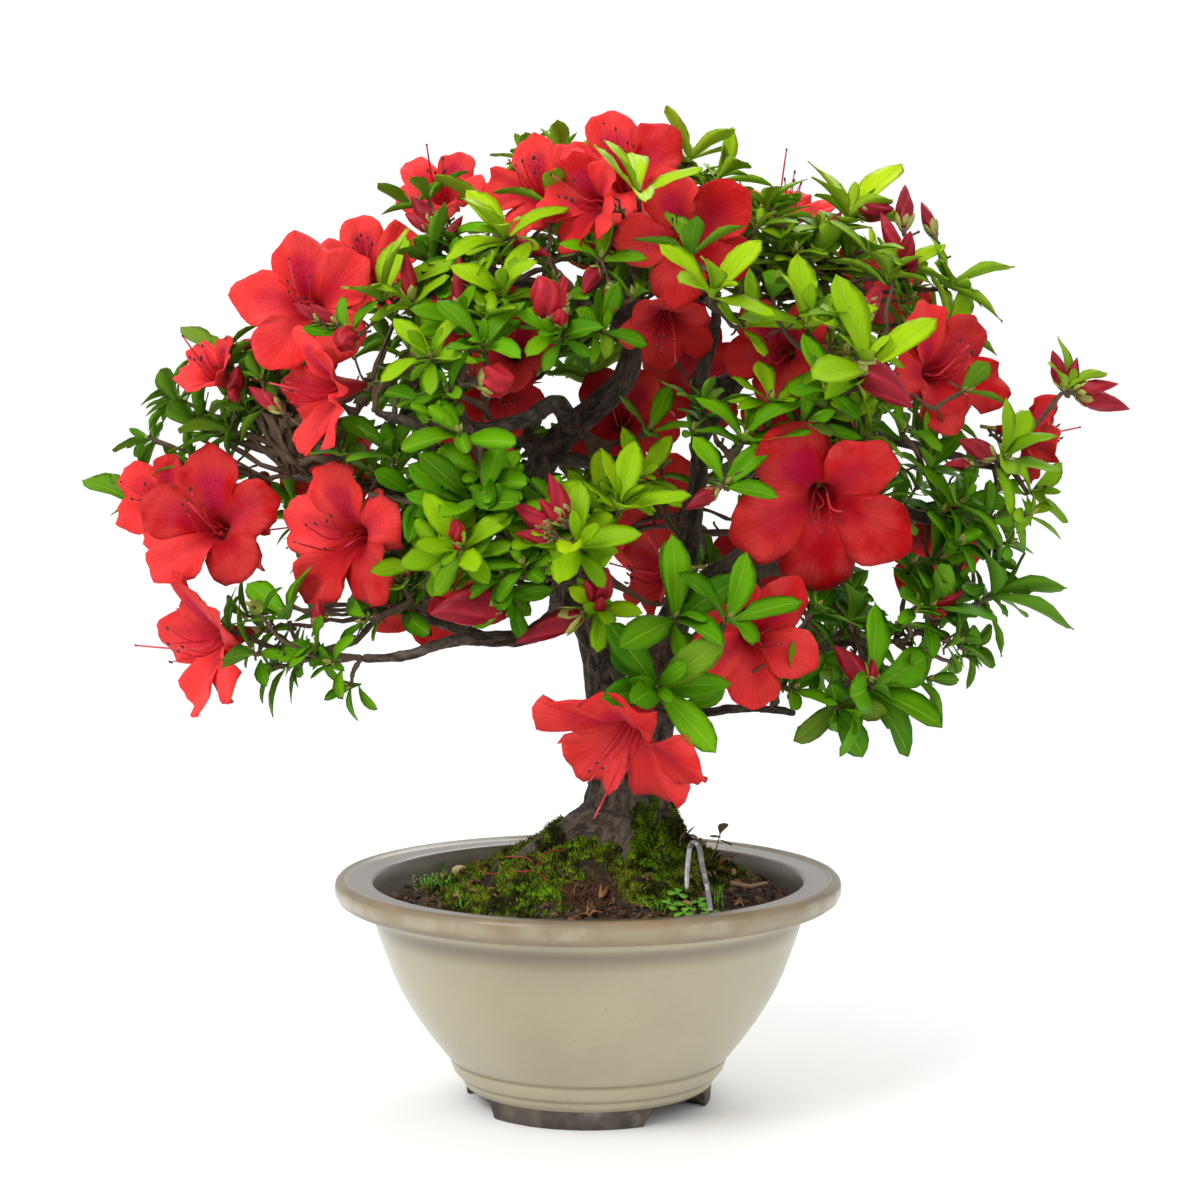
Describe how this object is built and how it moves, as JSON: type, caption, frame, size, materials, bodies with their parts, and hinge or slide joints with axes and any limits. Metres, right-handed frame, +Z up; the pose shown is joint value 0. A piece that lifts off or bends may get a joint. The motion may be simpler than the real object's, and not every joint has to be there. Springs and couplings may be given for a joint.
{
  "type": "potted azalea bonsai",
  "caption": "Flowering dwarf azalea bonsai: a twin trunk with leafy sprays and open blooms, grown in mossy soil in a round glazed pot on a notched foot ring.",
  "frame": {"origin": "on the ground under the middle of the whole object's bounding box, which is also the pot's axis within a few millimetres", "axes": "+Z up along the pot's axis, -Y towards the tree's front, +X to the right seen from the front"},
  "size_m": [0.4325, 0.2593, 0.4099],
  "materials": {
    "glaze": "satin",
    "plastic_mesh": "matte",
    "soil": "matte",
    "moss": "matte",
    "bark": "matte",
    "wire": "satin",
    "petals": "satin",
    "leaves": "satin"
  },
  "bodies": {
    "root": {"pot": "glaze", "drainage_screen": "plastic_mesh", "soil": "soil", "moss": "moss", "trunk_and_branches": "bark", "tie_wire": "wire", "bloom_left_large": "petals", "bloom_left_middle": "petals", "bloom_left_low": "petals", "bloom_upper_left": "petals", "bloom_upper_left_side": "petals", "bloom_behind_leaf": "petals", "bloom_crown_left": "petals", "bloom_crown": "petals", "bloom_crown_side": "petals", "bloom_crown_right": "petals", "bloom_under_crown": "petals", "bloom_right_shaded": "petals", "bloom_right_upper": "petals", "bloom_far_right": "petals", "bloom_right_large": "petals", "bloom_right_low": "petals", "bloom_hanging": "petals", "bloom_behind_trunk": "petals", "bloom_inner_left": "petals", "bloom_side_centre": "petals", "spray_far_left": "leaves", "spray_left_upper_side": "leaves", "spray_top_left_flower": "leaves", "spray_upper_left_buds": "leaves", "spray_upper_left_crown": "leaves", "spray_bright_upper_left": "leaves", "spray_top_centre": "leaves", "spray_top_bright": "leaves", "spray_centre_upper": "leaves", "spray_right_of_top": "leaves", "spray_right_crown": "leaves", "spray_right_upper_front": "leaves", "spray_right_big_leaf": "leaves", "spray_far_right": "leaves", "spray_right_mid": "leaves", "spray_right_low_leaf": "leaves", "spray_low_right_hanging": "leaves", "spray_low_right_inner": "leaves", "spray_low_centre_leaves": "leaves", "spray_centre_front": "leaves", "spray_centre_low_left": "leaves", "spray_left_mid_front": "leaves", "spray_left_low": "leaves", "spray_left_low_mid": "leaves", "spray_centre_mid_left": "leaves", "spray_inner_centre": "leaves", "spray_inner_right": "leaves", "spray_right_inner": "leaves", "spray_back_left_low": "leaves", "spray_back_left_high": "leaves", "spray_back_centre_low": "leaves", "spray_back_right_low": "leaves", "spray_back_right_high": "leaves", "spray_back_top": "leaves"}
  },
  "joints": []
}
